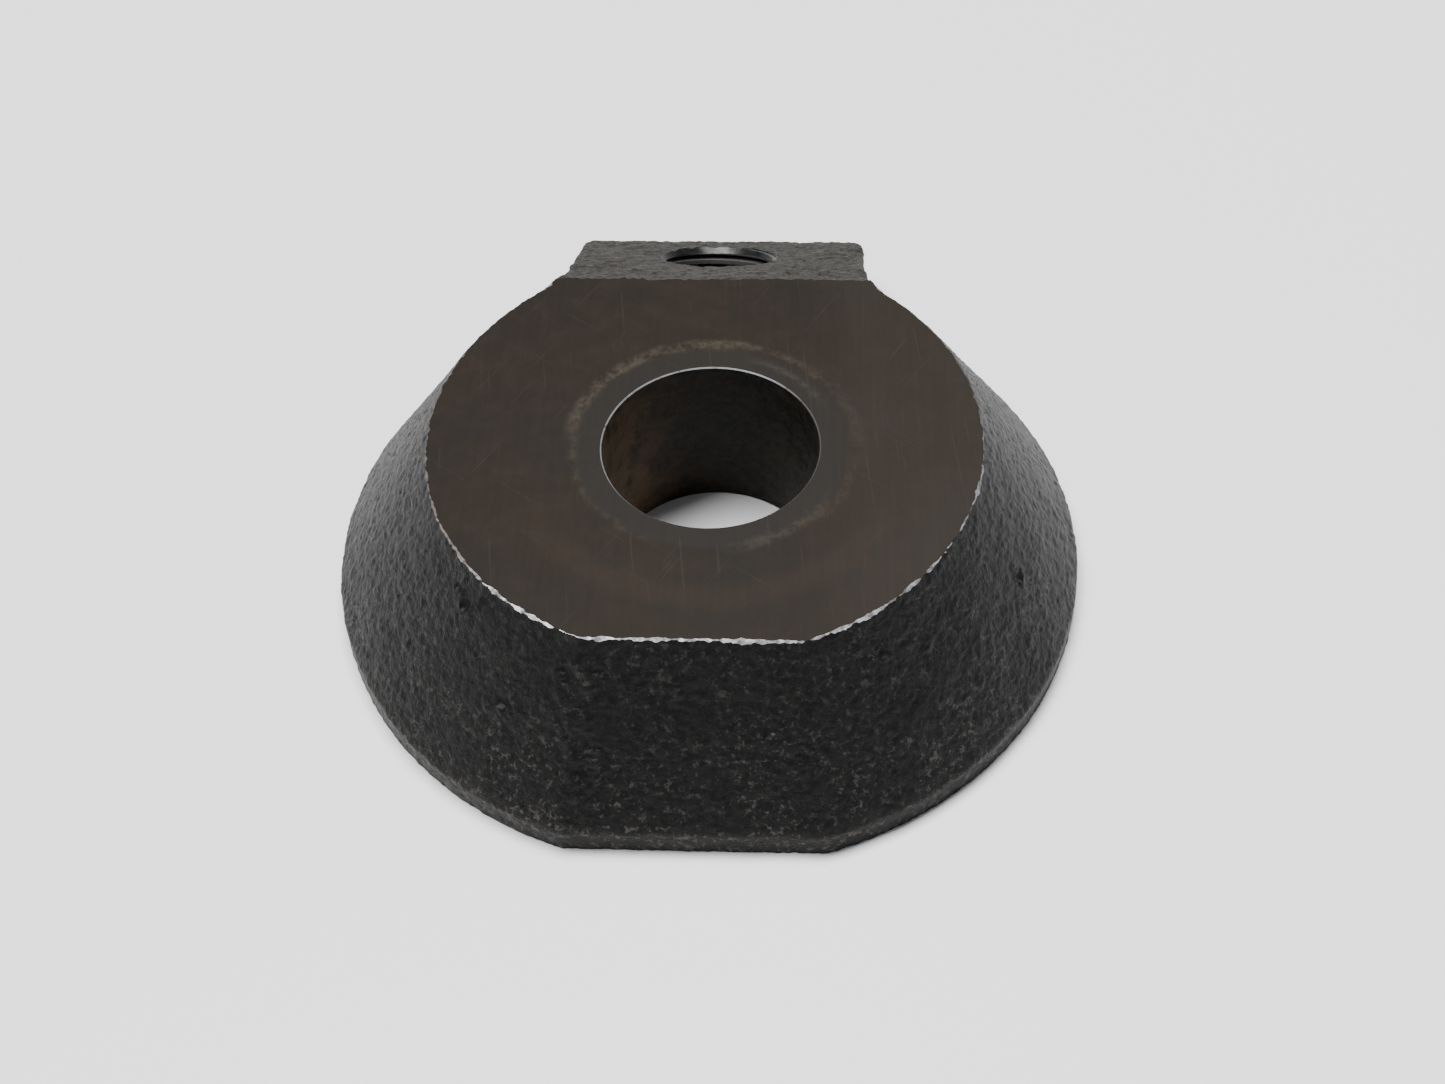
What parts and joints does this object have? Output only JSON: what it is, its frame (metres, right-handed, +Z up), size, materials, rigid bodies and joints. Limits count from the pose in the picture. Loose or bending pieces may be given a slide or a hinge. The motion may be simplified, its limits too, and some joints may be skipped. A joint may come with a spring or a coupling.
{
  "type": "cast clamp pad",
  "caption": "Bare iron clamp casting: flared round pad with a flat front, a plain bore through its machined top, and a sloping rear lug with a hole tapped square to the slope.",
  "frame": {"origin": "middle of the footprint, on the base plane the casting stands on", "axes": "+Z up, parallel to the bore; +Y from the flat front towards the tapped lug; +X to the right seen from the flat front"},
  "size_m": [0.113, 0.118, 0.028],
  "materials": {
    "cast_iron": "sand-cast dark iron with a semi-gloss oily black skin, a brown-grey machined top face, bright worn edges and a dark tapped hole"
  },
  "bodies": {
    "root": {"clamp_casting": "cast_iron"}
  },
  "joints": []
}
